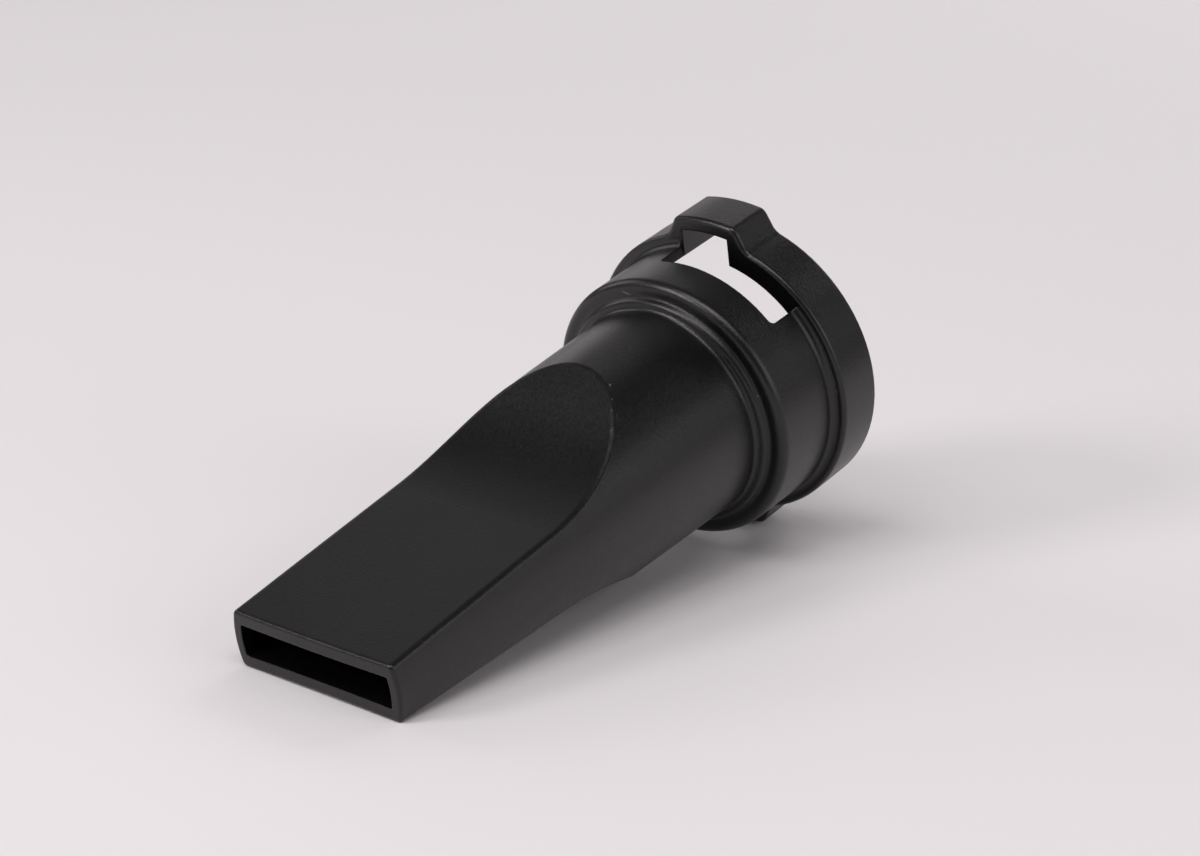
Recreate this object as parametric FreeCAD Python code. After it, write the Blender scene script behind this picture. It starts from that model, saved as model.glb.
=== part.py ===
import FreeCAD, Part
import math
import os

# Hair dryer concentrator nozzle: one moulded piece of black plastic.
# It is drawn with its axis along X, the outlet at x = 0 and the collar at the far end,
# and is then laid down the way it rests: on the lower edge of the outlet and on the
# key hump underneath the collar. All sizes are in millimetres.

# Overall
length = 129.0
wall = 2.0

# Round tube that is pressed flat towards the outlet; it grows towards the collar
tube_growth = 2.35

# Flat faces above and below: a nearly level run, one large bend and a steep run-out
tip_half_height = 5.6
facet_slope = 3.2
runout_slope = 31.8
knee_from_tip = 57.5
knee_radius = 52.0
facet_hollow_radius = 714.0
facet_wall = 2.55
facet_edge_round = 1.2
tip_edge_round = 0.7
slot_corner_round = 0.6

# Collar: the bore slides over the snout of the dryer
collar_length = 28.7
bore_radius = 25.4
mouth_chamfer = 0.6

# Barrel round the bore, a little thicker towards the ring
barrel_front_wall = 1.9
barrel_rear_wall = 2.05

# Shoulder with two rounded steps from the barrel down to the tube
first_step_height = 1.95
first_step_length = 1.3
first_step_round = 1.0
second_step_height = 3.4
second_step_round = 1.7
first_root_round = 0.9
second_root_round = 0.25

# Locking ring at the rear end of the collar
ring_wall = 4.6
ring_width = 10.8
ring_root_round = 1.5
ring_edge_round = 0.9
rim_edge_round = 0.5

# Key humps on the ring, over the channels that the lugs of the dryer pass through
hump_count = 2
channel_half_width = 5.4
hump_height = 3.6
hump_top_wall = 2.7
hump_side_wall = 1.7
hump_side_spread = 2.3
hump_corner_round = 2.0
hump_foot_round = 3.5

# Windows in front of the ring, in which the lugs turn and lock
window_length = 7.3
window_beside_channel = 0.5
window_end_angle = 47.0
window_corner_round = 1.2

# Clearance by which a cutting body runs past the face that it cuts
overrun = 2.0

axis_origin = FreeCAD.Vector(0, 0, 0)
axis_along = FreeCAD.Vector(1, 0, 0)


def rounded_outline(corners, place):
    """Closed wire through the corners; the third number rounds a corner."""
    count = len(corners)
    entries = []
    exits = []
    arcs = []
    for index in range(count):
        a, b, radius = corners[index]
        before = corners[index - 1]
        after = corners[(index + 1) % count]
        back = (before[0] - a, before[1] - b)
        ahead = (after[0] - a, after[1] - b)
        back_length = math.hypot(back[0], back[1])
        ahead_length = math.hypot(ahead[0], ahead[1])
        back = (back[0] / back_length, back[1] / back_length)
        ahead = (ahead[0] / ahead_length, ahead[1] / ahead_length)
        if radius == 0:
            entries.append((a, b))
            exits.append((a, b))
            arcs.append(None)
            continue
        cosine = back[0] * ahead[0] + back[1] * ahead[1]
        half = math.acos(cosine) / 2
        reach = radius / math.tan(half)
        bisector = (back[0] + ahead[0], back[1] + ahead[1])
        size = math.hypot(bisector[0], bisector[1])
        depth = radius / math.sin(half) - radius
        middle = (a + bisector[0] / size * depth, b + bisector[1] / size * depth)
        entries.append((a + back[0] * reach, b + back[1] * reach))
        exits.append((a + ahead[0] * reach, b + ahead[1] * reach))
        arcs.append(middle)
    edges = []
    for index in range(count):
        if arcs[index] is not None:
            start = place(*entries[index])
            middle = place(*arcs[index])
            end = place(*exits[index])
            edges.append(Part.Arc(start, middle, end).toShape())
        start = place(*exits[index])
        end = place(*entries[(index + 1) % count])
        if start.distanceToPoint(end) > 1e-6:
            edges.append(Part.LineSegment(start, end).toShape())
    return Part.Wire(edges)


def side_view(x, z):
    return FreeCAD.Vector(x, 0, z)


def revolved(corners):
    """Solid of revolution about the axis of the nozzle."""
    face = Part.Face(rounded_outline(corners, side_view))
    return face.revolve(axis_origin, axis_along, 360)


def turned(shape, angle):
    """Copy turned about the axis of the nozzle."""
    copy = shape.copy()
    copy.rotate(axis_origin, axis_along, angle)
    return copy


# Stations along the axis
neck_end = length - collar_length
second_step = neck_end + first_step_length
shoulder_back = second_step + wall
ring_front = length - ring_width
window_front = ring_front - window_length

# Radii, from the bore outwards and down to the tube
barrel_front_radius = bore_radius + barrel_front_wall
barrel_rear_radius = bore_radius + barrel_rear_wall
ring_radius = bore_radius + ring_wall
hump_radius = ring_radius + hump_height
channel_radius = hump_radius - hump_top_wall
first_step_radius = barrel_front_radius - second_step_height
neck_radius = first_step_radius - first_step_height
tip_radius = neck_radius - tube_growth
tube_taper = tube_growth / neck_end

# Rounds of the first step, which share its length and its height with those beside them
first_corner = min(first_step_round, first_step_length - second_root_round)
first_root = min(first_root_round, first_step_height - first_corner)

# Outer body: tube, shoulder, barrel and ring in one turned profile
outside = revolved([
    (0, 0, 0),
    (0, tip_radius, 0),
    (neck_end, neck_radius, first_root),
    (neck_end, first_step_radius, first_corner),
    (second_step, first_step_radius, second_root_round),
    (second_step, barrel_front_radius, second_step_round),
    (ring_front, barrel_rear_radius, ring_root_round),
    (ring_front, ring_radius, 0),
    (length, ring_radius, 0),
    (length, 0, 0),
])


def facet_cutter(depth):
    """Everything above one flat face; depth lowers the face towards the axis."""
    rise_front = math.tan(math.radians(facet_slope))
    rise_rear = math.tan(math.radians(runout_slope))
    knee_height = tip_half_height + knee_from_tip * rise_front - depth
    front_height = knee_height - (knee_from_tip + overrun) * rise_front
    top = ring_radius + overrun
    rear = knee_from_tip + (top - knee_height) / rise_rear
    face = Part.Face(rounded_outline([
        (-overrun, front_height, 0),
        (knee_from_tip, knee_height, knee_radius),
        (rear, top, 0),
        (-overrun, top, 0),
    ], side_view))
    # a turn about a far axis gives the face its slight hollow across the width
    far = FreeCAD.Vector(0, 0, facet_hollow_radius)
    half_turn = math.degrees(ring_radius / (facet_hollow_radius - ring_radius))
    face.rotate(far, axis_along, -half_turn)
    return face.revolve(far, axis_along, 2 * half_turn)


outer_facet = facet_cutter(0)
inner_facet = facet_cutter(facet_wall)
outside = outside.cut([outer_facet, turned(outer_facet, 180)])


def facet_edges(shape, end):
    """Long edges between the flat faces and the round sides of the tube."""
    found = []
    for edge in shape.Edges:
        box = edge.BoundBox
        if box.XLength < 1 or box.XMax > end:
            continue
        radii = []
        for vertex in edge.discretize(5):
            radii.append(math.hypot(vertex.y, vertex.z))
        if min(radii) > tip_half_height * 2:
            found.append(edge)
    return found


outside = outside.makeFillet(facet_edge_round, facet_edges(outside, neck_end - 1))
tip_edges = []
for edge in outside.Edges:
    if edge.BoundBox.XMax < 0.01:
        tip_edges.append(edge)
outside = outside.makeFillet(tip_edge_round, tip_edges)

# Key hump: a hat-shaped swelling of the ring, drawn across the axis
top_half_width = channel_half_width + hump_side_wall
top_corner_height = math.sqrt(hump_radius ** 2 - top_half_width ** 2)
foot_half_width = top_half_width + hump_side_spread
foot_height = math.sqrt(ring_radius ** 2 - foot_half_width ** 2)
root_radius = (barrel_rear_radius + ring_radius) / 2
root_height = math.sqrt(root_radius ** 2 - foot_half_width ** 2)
left_top = FreeCAD.Vector(ring_front, -top_half_width, top_corner_height)
crown = FreeCAD.Vector(ring_front, 0, hump_radius)
right_top = FreeCAD.Vector(ring_front, top_half_width, top_corner_height)
right_foot = FreeCAD.Vector(ring_front, foot_half_width, foot_height)
right_root = FreeCAD.Vector(ring_front, foot_half_width, root_height)
left_root = FreeCAD.Vector(ring_front, -foot_half_width, root_height)
left_foot = FreeCAD.Vector(ring_front, -foot_half_width, foot_height)
hump_outline = Part.Wire([
    Part.Arc(left_top, crown, right_top).toShape(),
    Part.LineSegment(right_top, right_foot).toShape(),
    Part.LineSegment(right_foot, right_root).toShape(),
    Part.LineSegment(right_root, left_root).toShape(),
    Part.LineSegment(left_root, left_foot).toShape(),
    Part.LineSegment(left_foot, left_top).toShape(),
])
hump = Part.Face(hump_outline).extrude(FreeCAD.Vector(ring_width, 0, 0))
humps = []
for index in range(hump_count):
    humps.append(turned(hump, index * 360 / hump_count))
outside = outside.fuse(humps).removeSplitter()


def ring_wide_edges(shape, radius):
    """Straight edges as long as the ring is wide, at one distance from the axis."""
    found = []
    for edge in shape.Edges:
        box = edge.BoundBox
        if box.XMin < ring_front - 0.01 or abs(box.XLength - ring_width) > 0.01:
            continue
        middle = edge.valueAt((edge.FirstParameter + edge.LastParameter) / 2)
        if abs(math.hypot(middle.y, middle.z) - radius) < 0.05:
            found.append(edge)
    return found


# Round the corners and the feet of the humps, then the front and rear edge all round
outside = outside.makeFillet(hump_corner_round, ring_wide_edges(outside, hump_radius))
outside = outside.makeFillet(hump_foot_round, ring_wide_edges(outside, ring_radius))


def outline_edges(shape, station):
    """Outer edges of the collar that lie in one plane across the axis."""
    found = []
    for edge in shape.Edges:
        box = edge.BoundBox
        if box.XLength > 0.01 or abs(box.XMin - station) > 0.01:
            continue
        middle = edge.valueAt((edge.FirstParameter + edge.LastParameter) / 2)
        if math.hypot(middle.y, middle.z) > ring_radius - 0.05:
            found.append(edge)
    return found


outside = outside.makeFillet(ring_edge_round, outline_edges(outside, ring_front))
outside = outside.makeFillet(rim_edge_round, outline_edges(outside, length))

# Air duct and bore: the same tube and flat faces, drawn one wall thickness further in
inside = revolved([
    (-overrun, 0, 0),
    (-overrun, tip_radius - wall - overrun * tube_taper, 0),
    (shoulder_back, neck_radius - wall + (shoulder_back - neck_end) * tube_taper, 0),
    (shoulder_back, bore_radius, 0),
    (length - mouth_chamfer, bore_radius, 0),
    (length + overrun, bore_radius + mouth_chamfer + overrun, 0),
    (length + overrun, 0, 0),
])
inside = inside.cut([inner_facet, turned(inner_facet, 180)])
inside = inside.makeFillet(slot_corner_round, facet_edges(inside, neck_end - 1))
body = outside.cut(inside)

# Key channel under each hump, open towards the window and out of the rear rim
channel_side = math.sqrt(channel_radius ** 2 - channel_half_width ** 2)
channel_floor = bore_radius / 2
channel_start = ring_front - window_length / 2
left_high = FreeCAD.Vector(channel_start, -channel_half_width, channel_side)
high = FreeCAD.Vector(channel_start, 0, channel_radius)
right_high = FreeCAD.Vector(channel_start, channel_half_width, channel_side)
right_low = FreeCAD.Vector(channel_start, channel_half_width, channel_floor)
left_low = FreeCAD.Vector(channel_start, -channel_half_width, channel_floor)
channel_outline = Part.Wire([
    Part.Arc(left_high, high, right_high).toShape(),
    Part.LineSegment(right_high, right_low).toShape(),
    Part.LineSegment(right_low, left_low).toShape(),
    Part.LineSegment(left_low, left_high).toShape(),
])
channel_run = length + overrun - channel_start
channel = Part.Face(channel_outline).extrude(FreeCAD.Vector(channel_run, 0, 0))

# Window: a sector of the barrel wall cut out between two angles about the axis
window_face = Part.Face(rounded_outline([
    (window_front, bore_radius - overrun, 0),
    (ring_front, bore_radius - overrun, 0),
    (ring_front, ring_radius - ring_edge_round, 0),
    (window_front, ring_radius - ring_edge_round, 0),
], side_view))
window_start_sine = (channel_half_width + window_beside_channel) / barrel_rear_radius
window_start_angle = -math.degrees(math.asin(window_start_sine))
window_face.rotate(axis_origin, axis_along, window_start_angle)
window_sweep = window_end_angle - window_start_angle
window = window_face.revolve(axis_origin, axis_along, window_sweep)
window_corners = []
for edge in window.Edges:
    box = edge.BoundBox
    if box.XLength < 0.01 and abs(box.XMin - window_front) < 0.01:
        if edge.Curve.TypeId == "Part::GeomLine":
            window_corners.append(edge)
window = window.makeFillet(window_corner_round, window_corners)

openings = []
for index in range(hump_count):
    openings.append(turned(channel, index * 360 / hump_count))
    openings.append(turned(window, index * 360 / hump_count))
body = body.cut(openings).removeSplitter()

# Lay the nozzle down: a line under the outlet edge and under the front of the lower hump
edge_half_width = math.sqrt(tip_radius ** 2 - tip_half_height ** 2) - facet_edge_round
edge_drop = edge_half_width ** 2 / (2 * facet_hollow_radius)
tip_contact_x = tip_edge_round
tip_contact_z = -(tip_half_height + edge_drop - tip_edge_round)
hump_contact_x = ring_front + ring_edge_round
hump_contact_z = -(hump_radius - ring_edge_round)
run = hump_contact_x - tip_contact_x
fall = tip_contact_z - hump_contact_z
spread = math.hypot(run, fall)
lean = math.atan2(fall, run) + math.asin((ring_edge_round - tip_edge_round) / spread)
body.rotate(axis_origin, FreeCAD.Vector(0, 1, 0), -math.degrees(lean))
box = body.optimalBoundingBox(False, False)
body.translate(FreeCAD.Vector(-(box.XMin + box.XMax) / 2, 0, -box.ZMin))

os.makedirs("parts", exist_ok=True)
body.exportStep("parts/nozzle_body.step")
print("lean", round(math.degrees(lean), 3), "valid", body.isValid(), "solids", len(body.Solids))
print("faces", len(body.Faces), "volume", round(body.Volume, 1))
print("box", body.optimalBoundingBox(False, False))
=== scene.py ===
import math

import bpy
from mathutils import Matrix, Vector

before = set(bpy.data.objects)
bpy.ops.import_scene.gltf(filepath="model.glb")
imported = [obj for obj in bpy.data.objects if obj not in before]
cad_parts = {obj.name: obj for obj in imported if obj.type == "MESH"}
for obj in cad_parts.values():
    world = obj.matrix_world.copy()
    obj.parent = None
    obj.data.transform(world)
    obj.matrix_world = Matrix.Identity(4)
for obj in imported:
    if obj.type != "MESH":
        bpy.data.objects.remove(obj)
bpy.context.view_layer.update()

# The table. A sheet of pale grey paper lies flat under the nozzle and runs on far behind it,
# so that no edge or corner of it shows from any side. Past the reach of the lamps it keeps
# its pale tone where the camera sees it.
paper_width = 12.0
paper_colour = (0.795, 0.790, 0.790, 1.0)
paper_roughness = 0.9
paper_shine = 0.1
far_colour = (0.715, 0.675, 0.688, 1.0)
fade_start = 0.75
fade_end = 1.15

bpy.ops.object.select_all(action="DESELECT")
bpy.ops.mesh.primitive_plane_add(size=paper_width, location=(0.0, 0.0, 0.0))
table = bpy.context.object
table.name = "table_paper"

paper = bpy.data.materials.new("table_paper")
paper.use_nodes = True
paper_nodes = paper.node_tree.nodes
paper_links = paper.node_tree.links
paper_shader = paper_nodes["Principled BSDF"]
paper_shader.inputs["Base Color"].default_value = paper_colour
paper_shader.inputs["Roughness"].default_value = paper_roughness
paper_shader.inputs["Specular IOR Level"].default_value = paper_shine

# the pale tone comes in with the distance from the nozzle, and only where the camera looks
paper_place = paper_nodes.new("ShaderNodeTexCoord")
paper_distance = paper_nodes.new("ShaderNodeVectorMath")
paper_distance.operation = "LENGTH"
paper_fade = paper_nodes.new("ShaderNodeMapRange")
paper_fade.inputs["From Min"].default_value = fade_start
paper_fade.inputs["From Max"].default_value = fade_end
paper_rays = paper_nodes.new("ShaderNodeLightPath")
paper_share = paper_nodes.new("ShaderNodeMath")
paper_share.operation = "MULTIPLY"
paper_tone = paper_nodes.new("ShaderNodeEmission")
paper_tone.inputs["Color"].default_value = far_colour
paper_mix = paper_nodes.new("ShaderNodeMixShader")
paper_out = paper_nodes["Material Output"]
paper_links.new(paper_place.outputs["Object"], paper_distance.inputs[0])
paper_links.new(paper_distance.outputs["Value"], paper_fade.inputs["Value"])
paper_links.new(paper_fade.outputs["Result"], paper_share.inputs[0])
paper_links.new(paper_rays.outputs["Is Camera Ray"], paper_share.inputs[1])
paper_links.new(paper_share.outputs["Value"], paper_mix.inputs["Fac"])
paper_links.new(paper_shader.outputs["BSDF"], paper_mix.inputs[1])
paper_links.new(paper_tone.outputs["Emission"], paper_mix.inputs[2])
paper_links.new(paper_mix.outputs["Shader"], paper_out.inputs["Surface"])
table.data.materials.append(paper)

# The nozzle. It is one piece of injection moulded black plastic: flattened tube, stepped
# shoulder, barrel and locking ring in one. The mould gives its outside a fine matt grain,
# and the polished core leaves the bore and the duct a little smoother.
plastic_colour = (0.0024, 0.0023, 0.0025, 1.0)
plastic_roughness = 0.31
plastic_refraction = 1.5

# the axis rises from the middle of the outlet towards the collar; the tube widens along it
axis_start = (-0.0659726, 0.0, 0.0055212)
axis_lean = math.radians(13.208)
tip_radius = 0.0196
tube_growth = 0.00235
tube_length = 0.1003

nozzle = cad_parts["nozzle_body"]
plastic = bpy.data.materials.new("matt_black_plastic")
plastic.use_nodes = True
plastic_tree = plastic.node_tree
plastic_shader = plastic_tree.nodes["Principled BSDF"]
plastic_shader.inputs["IOR"].default_value = plastic_refraction
plastic_place = plastic_tree.nodes.new("ShaderNodeTexCoord")
plastic_spot = plastic_place.outputs["Object"]


def plastic_node(kind, fed=(), **settings):
    """New node of the plastic, with its own settings and with what feeds its sockets."""
    node = plastic_tree.nodes.new("ShaderNode" + kind)
    for name, value in settings.items():
        setattr(node, name, value)
    for socket, source in fed:
        if isinstance(source, bpy.types.NodeSocket):
            plastic_tree.links.new(source, node.inputs[socket])
        else:
            node.inputs[socket].default_value = source
    return node


def plastic_math(operation, *numbers):
    """Sum, product or the like of one or two numbers."""
    worked = plastic_node("Math", enumerate(numbers), operation=operation)
    return worked.outputs["Value"]


def plastic_arrows(operation, *arrows):
    """The same for places and directions; a length or an agreement comes out as a number."""
    worked = plastic_node("VectorMath", enumerate(arrows), operation=operation)
    if operation in ("LENGTH", "DOT_PRODUCT"):
        return worked.outputs["Value"]
    return worked.outputs["Vector"]


def plastic_scaled(arrow, share):
    """The direction, made longer or shorter by the share."""
    scaled = plastic_node("VectorMath", [(0, arrow), ("Scale", share)], operation="SCALE")
    return scaled.outputs["Vector"]


def plastic_turned(arrow, angle):
    """The direction, turned about Y, which lies straight across the nozzle."""
    turned = plastic_node("Mapping", [
        ("Vector", arrow),
        ("Rotation", (0.0, angle, 0.0)),
    ], vector_type="POINT")
    return turned.outputs["Vector"]


def plastic_range(value, low, high, to_low, to_high):
    """The value, stretched from one range onto another and held to it."""
    mapped = plastic_node("MapRange", [
        ("Value", value),
        ("From Min", low),
        ("From Max", high),
        ("To Min", to_low),
        ("To Max", to_high),
    ])
    return mapped.outputs["Result"]


# where a face of the moulding looks towards the axis, it was shaped by the core
core_agreement = -0.45
mould_agreement = -0.25
across_only = (0.0, 1.0, 1.0)

along_axis = plastic_node("Mapping", [
    ("Vector", plastic_spot),
    ("Location", axis_start),
    ("Rotation", (0.0, -axis_lean, 0.0)),
], vector_type="TEXTURE").outputs["Vector"]
across = plastic_arrows("MULTIPLY", along_axis, across_only)
outwards = plastic_arrows("NORMALIZE", across)
facing = plastic_turned(plastic_place.outputs["Normal"], axis_lean)
towards = plastic_arrows("DOT_PRODUCT", facing, outwards)
core_side = plastic_range(towards, core_agreement, mould_agreement, 1.0, 0.0)

# the mould leaves every edge a little fuller than a plain fillet, and the creases of the
# shoulder most of all
edge_radius = 0.0004
crease_radius = 0.0012
crease_start = 0.0970
crease_end = 0.1035
crease_fade = 0.0015
fuller_samples = 8

station = plastic_node("SeparateXYZ", [("Vector", along_axis)]).outputs["X"]
past_start = plastic_range(
    station, crease_start - crease_fade, crease_start, 0.0, crease_radius - edge_radius)
before_end = plastic_range(station, crease_end, crease_end + crease_fade, 1.0, 0.0)
in_crease = plastic_math("MULTIPLY", past_start, before_end)
fuller_radius = plastic_math("ADD", in_crease, edge_radius)
fuller = plastic_node("Bevel", [("Radius", fuller_radius)], samples=fuller_samples)

# the mesh has a seam along the top of the round surfaces, where its normals don't meet: there
# the direction straight out from the axis takes the place of the mesh's own
seam_start = 0.990
seam_full = 0.9945
off_facet_start = -0.0003
off_facet_full = -0.00015
mix_sockets = {"VECTOR": (4, 5, 1), "RGBA": (6, 7, 2)}


def plastic_mix(kind, share, first, second):
    """Between the first and the second by the share; each kind has sockets of its own."""
    first_socket, second_socket, result = mix_sockets[kind]
    mixed = plastic_node("Mix", [
        ("Factor", share),
        (first_socket, first),
        (second_socket, second),
    ], data_type=kind)
    return mixed.outputs[result]


full_way = plastic_turned(fuller.outputs["Normal"], axis_lean)
length_share = plastic_node("SeparateXYZ", [("Vector", full_way)]).outputs["X"]
lengthwise = plastic_node("CombineXYZ", [("X", length_share)]).outputs["Vector"]
crosswise = plastic_arrows("SUBTRACT", full_way, lengthwise)
cross_share = plastic_arrows("LENGTH", crosswise)
cross_way = plastic_arrows("NORMALIZE", crosswise)
agreement = plastic_arrows("DOT_PRODUCT", cross_way, outwards)
straight_way = plastic_scaled(outwards, plastic_math("SIGN", agreement))
nearly = plastic_math("ABSOLUTE", agreement)
nearly_straight = plastic_range(nearly, seam_start, seam_full, 0.0, 1.0)
widening = plastic_math("MULTIPLY", station, tube_growth / tube_length)
tube_radius = plastic_math("ADD", widening, tip_radius)
off_tube = plastic_math("SUBTRACT", plastic_arrows("LENGTH", across), tube_radius)
off_facet = plastic_range(off_tube, off_facet_start, off_facet_full, 0.0, 1.0)
mend_share = plastic_math("MULTIPLY", nearly_straight, off_facet)
mended_way = plastic_mix("VECTOR", mend_share, cross_way, straight_way)
mended = plastic_arrows("ADD", plastic_scaled(mended_way, cross_share), lengthwise)
seamless = plastic_turned(mended, -axis_lean)

# matt grain, finer on the core side, over a hardly visible unevenness of the moulded skin
grain_size = 0.00050
grain_detail = 3.0
grain_height = 0.000045
core_grain_share = 0.35
skin_size = 0.012
skin_detail = 1.0
skin_height = 0.00004
skin_share = 0.5
cloud_raggedness = 0.6


def plastic_noise(size, detail):
    """Cloudy pattern whose spots are about so many metres across."""
    noise = plastic_node("TexNoise", [
        ("Vector", plastic_spot),
        ("Scale", 1.0 / size),
        ("Detail", detail),
        ("Roughness", cloud_raggedness),
    ])
    return noise.outputs["Fac"]


grain_bump = plastic_node("Bump", [
    ("Normal", seamless),
    ("Height", plastic_noise(grain_size, grain_detail)),
    ("Strength", plastic_range(core_side, 0.0, 1.0, 1.0, core_grain_share)),
    ("Distance", grain_height),
])
skin_bump = plastic_node("Bump", [
    ("Normal", grain_bump.outputs["Normal"]),
    ("Height", plastic_noise(skin_size, skin_detail)),
    ("Strength", skin_share),
    ("Distance", skin_height),
])
plastic_tree.links.new(skin_bump.outputs["Normal"], plastic_shader.inputs["Normal"])

# handling leaves the sheen a little uneven, in broad soft patches and in finer ones
patch_size = 0.022
patch_swing = 0.015
fleck_size = 0.0009
fleck_smooth = -0.02
fleck_rough = 0.03
cloud_detail = 2.0
cloud_low = 0.3
cloud_high = 0.7
core_polish = -0.05


def plastic_cloud(size, to_low, to_high):
    """Cloudy pattern that runs from one value to another."""
    cloud = plastic_noise(size, cloud_detail)
    return plastic_range(cloud, cloud_low, cloud_high, to_low, to_high)


patches = plastic_cloud(patch_size, -patch_swing, patch_swing)
flecks = plastic_cloud(fleck_size, fleck_smooth, fleck_rough)
sheen = plastic_math("ADD", plastic_math("ADD", patches, flecks), plastic_roughness)
sheen = plastic_math("ADD", sheen, plastic_range(core_side, 0.0, 1.0, 0.0, core_polish))

# small knocks and lint that catch the light: each is a place, a turn and three half sizes
mark_colour = (0.38, 0.37, 0.37, 1.0)
mark_roughening = 0.2
mark_full = 0.5
ragged_size = 0.00022
ragged_out = -0.35
ragged_in = 0.45
unturned = (0.0, 0.0, 0.0)

ragged = plastic_cloud(ragged_size, ragged_out, ragged_in)


def plastic_mark(place, turn, half_sizes, strength):
    """The strength inside a small ragged ellipsoid about the place, and 0 outside it."""
    own = plastic_node("Mapping", [
        ("Vector", plastic_spot),
        ("Location", place),
        ("Rotation", turn),
        ("Scale", half_sizes),
    ], vector_type="TEXTURE").outputs["Vector"]
    far = plastic_math("ADD", plastic_arrows("LENGTH", own), ragged)
    return plastic_range(far, mark_full, 1.0, strength, 0.0)


shoulder_scratch = plastic_mark(
    (0.02747, 0.00722, 0.05202), (0.12, 0.0, 0.0), (0.0004, 0.0012, 0.00013), 0.45)
facet_nick_high = plastic_mark(
    (0.00376, -0.00806, 0.04227), (0.0, 0.0, 0.6), (0.0005, 0.00022, 0.0003), 0.25)
facet_nick_middle = plastic_mark(
    (0.00157, -0.01033, 0.04058), unturned, (0.00018, 0.00018, 0.0003), 0.25)
facet_nick_low = plastic_mark(
    (-0.00011, -0.01172, 0.03917), unturned, (0.00018, 0.00018, 0.0003), 0.2)
shoulder_speck = plastic_mark(
    (0.03090, -0.02241, 0.03707), unturned, (0.00020, 0.00016, 0.00020), 0.3)
marks = shoulder_scratch
for mark in (facet_nick_high, facet_nick_middle, facet_nick_low, shoulder_speck):
    marks = plastic_math("ADD", marks, mark)
marks = plastic_range(marks, 0.0, 1.0, 0.0, 1.0)
roughened = plastic_math("ADD", sheen, plastic_range(marks, 0.0, 1.0, 0.0, mark_roughening))
plastic_tree.links.new(roughened, plastic_shader.inputs["Roughness"])

# dust: a pale point in some of the cells of a fine lattice, as wide as a share of its cell
dust_spacing = 0.002
dust_full = 0.03
dust_edge = 0.06
dust_chance_start = 0.90
dust_chance_full = 0.92
dust_share = 0.5
dust_colour = (0.12, 0.118, 0.115, 1.0)

dust_cells = plastic_node("TexVoronoi", [
    ("Vector", plastic_spot),
    ("Scale", 1.0 / dust_spacing),
])
dust_chance = plastic_node("SeparateColor", [("Color", dust_cells.outputs["Color"])])
dust_point = plastic_range(dust_cells.outputs["Distance"], dust_full, dust_edge, 1.0, 0.0)
dust_here = plastic_range(
    dust_chance.outputs["Red"], dust_chance_start, dust_chance_full, 0.0, 1.0)
dust = plastic_math("MULTIPLY", dust_point, dust_here)
dust = plastic_range(dust, 0.0, 1.0, 0.0, dust_share)
dusty_colour = plastic_mix("RGBA", dust, plastic_colour, dust_colour)
marked_colour = plastic_mix("RGBA", marks, dusty_colour, mark_colour)
plastic_tree.links.new(marked_colour, plastic_shader.inputs["Base Color"])

for slot in nozzle.material_slots:
    slot.material = plastic

# The room. It is dim, and its light only fills the shadows. It looks pale where the camera
# sees it directly, beyond the far edge of the paper.
dim_colour = (1.0, 0.99, 0.99, 1.0)
dim_strength = 0.06

room = bpy.data.worlds.new("dim_room")
room.use_nodes = True
room_nodes = room.node_tree.nodes
room_links = room.node_tree.links
dim_light = room_nodes["Background"]
dim_light.inputs["Color"].default_value = dim_colour
dim_light.inputs["Strength"].default_value = dim_strength
pale_wall = room_nodes.new("ShaderNodeBackground")
pale_wall.inputs["Color"].default_value = far_colour
room_rays = room_nodes.new("ShaderNodeLightPath")
room_mix = room_nodes.new("ShaderNodeMixShader")
room_out = room_nodes["World Output"]
room_links.new(room_rays.outputs["Is Camera Ray"], room_mix.inputs["Fac"])
room_links.new(dim_light.outputs["Background"], room_mix.inputs[1])
room_links.new(pale_wall.outputs["Background"], room_mix.inputs[2])
room_links.new(room_mix.outputs["Shader"], room_out.inputs["Surface"])
bpy.context.scene.world = room

# The lamps. Square soft boxes stand round the table and face the nozzle, all at the same
# distance. The two strongest stand in front of the outlet, one high up and one lower down.
lamp_colour = (1.03, 0.975, 0.995)
lamp_target = Vector((0.0, 0.0, 0.03))
lamp_distance = 1.5


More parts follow.
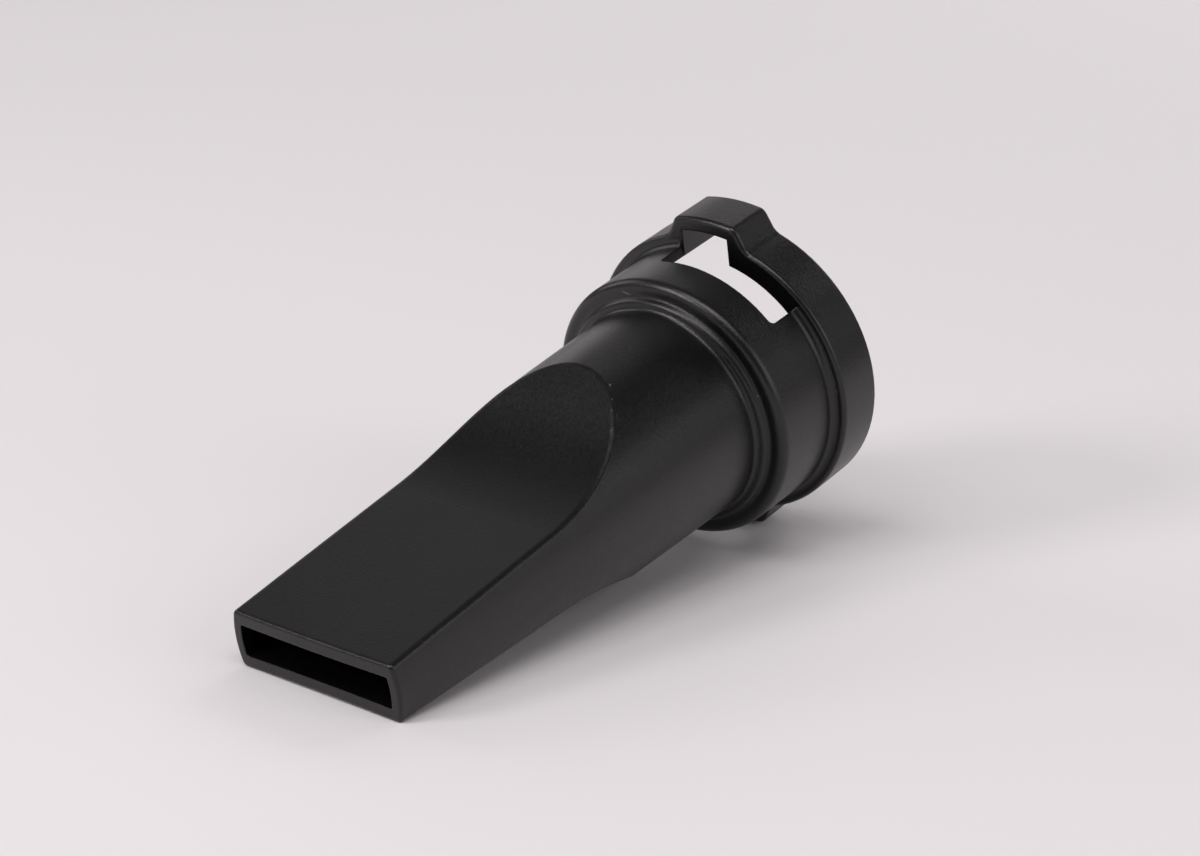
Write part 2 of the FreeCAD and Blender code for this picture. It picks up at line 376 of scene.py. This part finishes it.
def soft_box(name, azimuth, elevation, width, watts):
    """Square lamp that faces the nozzle; azimuth turns from +X towards +Y."""
    around = math.radians(azimuth)
    above = math.radians(elevation)
    direction = Vector((
        math.cos(around) * math.cos(above),
        math.sin(around) * math.cos(above),
        math.sin(above),
    ))
    bpy.ops.object.light_add(type="AREA", location=lamp_target + direction * lamp_distance)
    lamp = bpy.context.object
    lamp.name = name
    lamp.data.shape = "SQUARE"
    lamp.data.size = width
    lamp.data.energy = watts
    lamp.data.color = lamp_colour
    lamp.visible_camera = False
    lamp.rotation_euler = (-direction).to_track_quat("-Z", "Y").to_euler()


soft_box("main_box", 180.0, 60.0, 0.7, 7.35)
soft_box("front_high_box", 232.0, 62.0, 0.7, 4.15)
soft_box("left_box", 155.0, 28.0, 0.45, 8.4)
soft_box("left_back_box", 100.0, 25.0, 0.7, 3.2)
soft_box("back_left_box", 48.0, 16.0, 0.6, 0.9)
soft_box("back_high_box", 45.0, 45.0, 1.2, 1.1)
soft_box("back_box", 20.0, 26.0, 0.7, 3.5)
soft_box("back_right_box", 348.0, 28.0, 0.7, 3.5)
soft_box("right_box", 275.0, 25.0, 1.0, 4.4)
soft_box("right_low_box", 300.0, 15.0, 0.8, 1.2)

# The camera. It looks down along the nozzle from in front of the outlet, to its right. Its
# place and directions were fitted to the outlines of the real nozzle.
camera_place = (-0.4081, -0.3281, 0.2071)
camera_right = (0.62365, -0.7811, 0.0304)
camera_up = (0.2284, 0.2193, 0.94858)
camera_back = (-0.7476, -0.5846, 0.3152)
camera_lens = 89.08
camera_sensor = 36.0
nearest_seen = 0.05
farthest_seen = 50.0

bpy.ops.object.camera_add(location=camera_place)
camera = bpy.context.object
camera.name = "camera"
camera_turn = Matrix((camera_right, camera_up, camera_back)).transposed()
camera.rotation_euler = camera_turn.to_euler()
camera.data.sensor_width = camera_sensor
camera.data.lens = camera_lens
camera.data.clip_start = nearest_seen
camera.data.clip_end = farthest_seen
bpy.context.scene.camera = camera
bpy.context.scene.view_settings.view_transform = "Standard"
